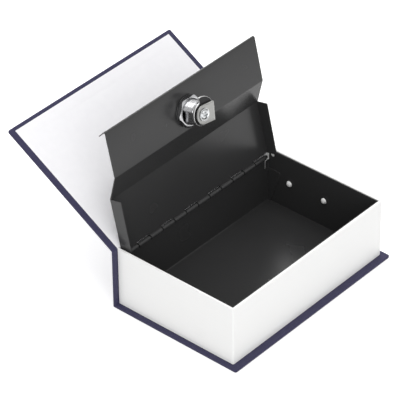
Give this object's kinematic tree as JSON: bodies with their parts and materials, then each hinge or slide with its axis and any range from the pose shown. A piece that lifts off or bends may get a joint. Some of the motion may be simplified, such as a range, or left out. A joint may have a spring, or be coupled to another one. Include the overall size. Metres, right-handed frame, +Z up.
{
  "type": "book diversion safe",
  "caption": "Cash box disguised as a hardback book: cloth cover and hollow page block round a folded steel tray with a hinged lid and a cam lock, shown open.",
  "frame": {"origin": "middle of the back cover's underside, on the surface it stands on", "axes": "+X along the spine, +Y from the fore edge to the spine, +Z up"},
  "size_m": [0.18, 0.221, 0.1491],
  "materials": {
    "navy_cloth": "fine woven book cloth, matte, deep navy",
    "grey_board": "grey binder board, hidden",
    "white_paper": "smooth white paper",
    "page_edge_white": "white moulded plastic with fine page lines",
    "white_rivet": "painted domed rivet",
    "black_powder_coat": "black powder coat, satin, slight orange peel",
    "bright_steel": "zinc plated",
    "chrome": "bright plated",
    "satin_nickel": "satin nickel",
    "dark_steel": "dark oiled steel"
  },
  "bodies": {
    "book_body": {"back_cover_cloth": "navy_cloth", "back_board": "grey_board", "spine_cloth": "navy_cloth", "spine_board": "grey_board", "back_lining_paper": "white_paper", "spine_lining_paper": "white_paper", "front_joint_cloth": "navy_cloth", "page_block": "page_edge_white", "steel_tray": "black_powder_coat", "hinge_pin": "dark_steel", "strike_bracket": "bright_steel", "strike_rivet_1": "bright_steel", "strike_rivet_2": "bright_steel", "tray_rivet_head_1": "white_rivet", "tray_rivet_head_2": "white_rivet", "tray_rivet_tail_1": "white_rivet", "tray_rivet_tail_2": "white_rivet"},
    "front_cover": {"front_cover_cloth": "navy_cloth", "front_board": "grey_board", "front_endpaper": "white_paper"},
    "lid": {"steel_lid": "black_powder_coat", "lock_body": "chrome", "lock_washer": "dark_steel", "lock_nut": "chrome"},
    "lock_core": {"lock_plug": "satin_nickel", "latch_cam": "dark_steel", "cam_plate": "satin_nickel", "cam_screw": "bright_steel"}
  },
  "joints": [
    {"name": "cover_hinge", "type": "hinge", "parent": "book_body", "child": "front_cover", "pos_m": [0, 0.0586, 0.05335], "axis": [1, 0, 0], "range_deg": [0, 149], "deforming": ["front_joint_cloth"]},
    {"name": "lid_hinge", "type": "hinge", "parent": "book_body", "child": "lid", "pos_m": [0, 0.0549, 0.04555], "axis": [1, 0, 0], "range_deg": [0, 103]},
    {"name": "lock_turn", "type": "hinge", "parent": "lid", "child": "lock_core", "pos_m": [0, 0.0635, 0.12747], "axis": [0, -0.9744, 0.225], "range_deg": [0, 90]}
  ],
  "couplings": [
    {"joint": "lid_hinge", "follows": "cover_hinge", "ratio": 0.69127}
  ]
}
